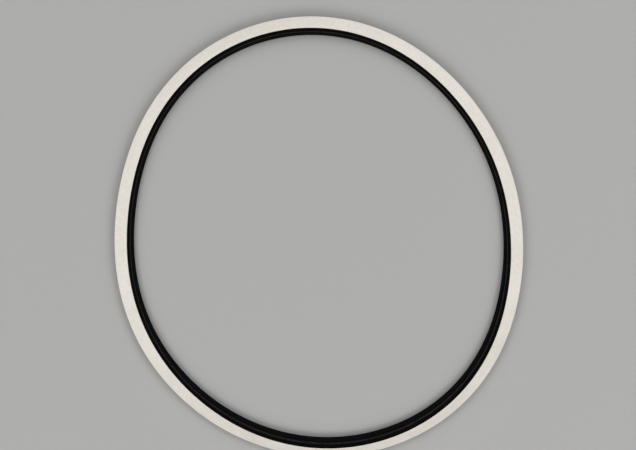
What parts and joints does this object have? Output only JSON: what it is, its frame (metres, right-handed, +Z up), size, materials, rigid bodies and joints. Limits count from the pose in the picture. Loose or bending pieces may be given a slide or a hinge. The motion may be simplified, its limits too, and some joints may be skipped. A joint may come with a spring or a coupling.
{
  "type": "pressure cooker lid sealing ring",
  "caption": "Closed rubber sealing ring for a pressure cooker lid: smooth off-white sloping face band seated on a black ribbed ring with a flat foot, lying relaxed and slightly oval.",
  "frame": {"origin": "middle of the ring's outline in plan, on the flat surface that its foot rests on", "axes": "+Z up through the ring's opening, towards the side of the off-white face; +Y roughly along the long way across the slightly oval ring; +X across it"},
  "size_m": [0.267, 0.2876, 0.0086],
  "materials": {
    "off_white_silicone": "satin",
    "black_rubber": "satin"
  },
  "bodies": {
    "root": {"face_band": "off_white_silicone", "ribbed_ring": "black_rubber"}
  },
  "joints": []
}
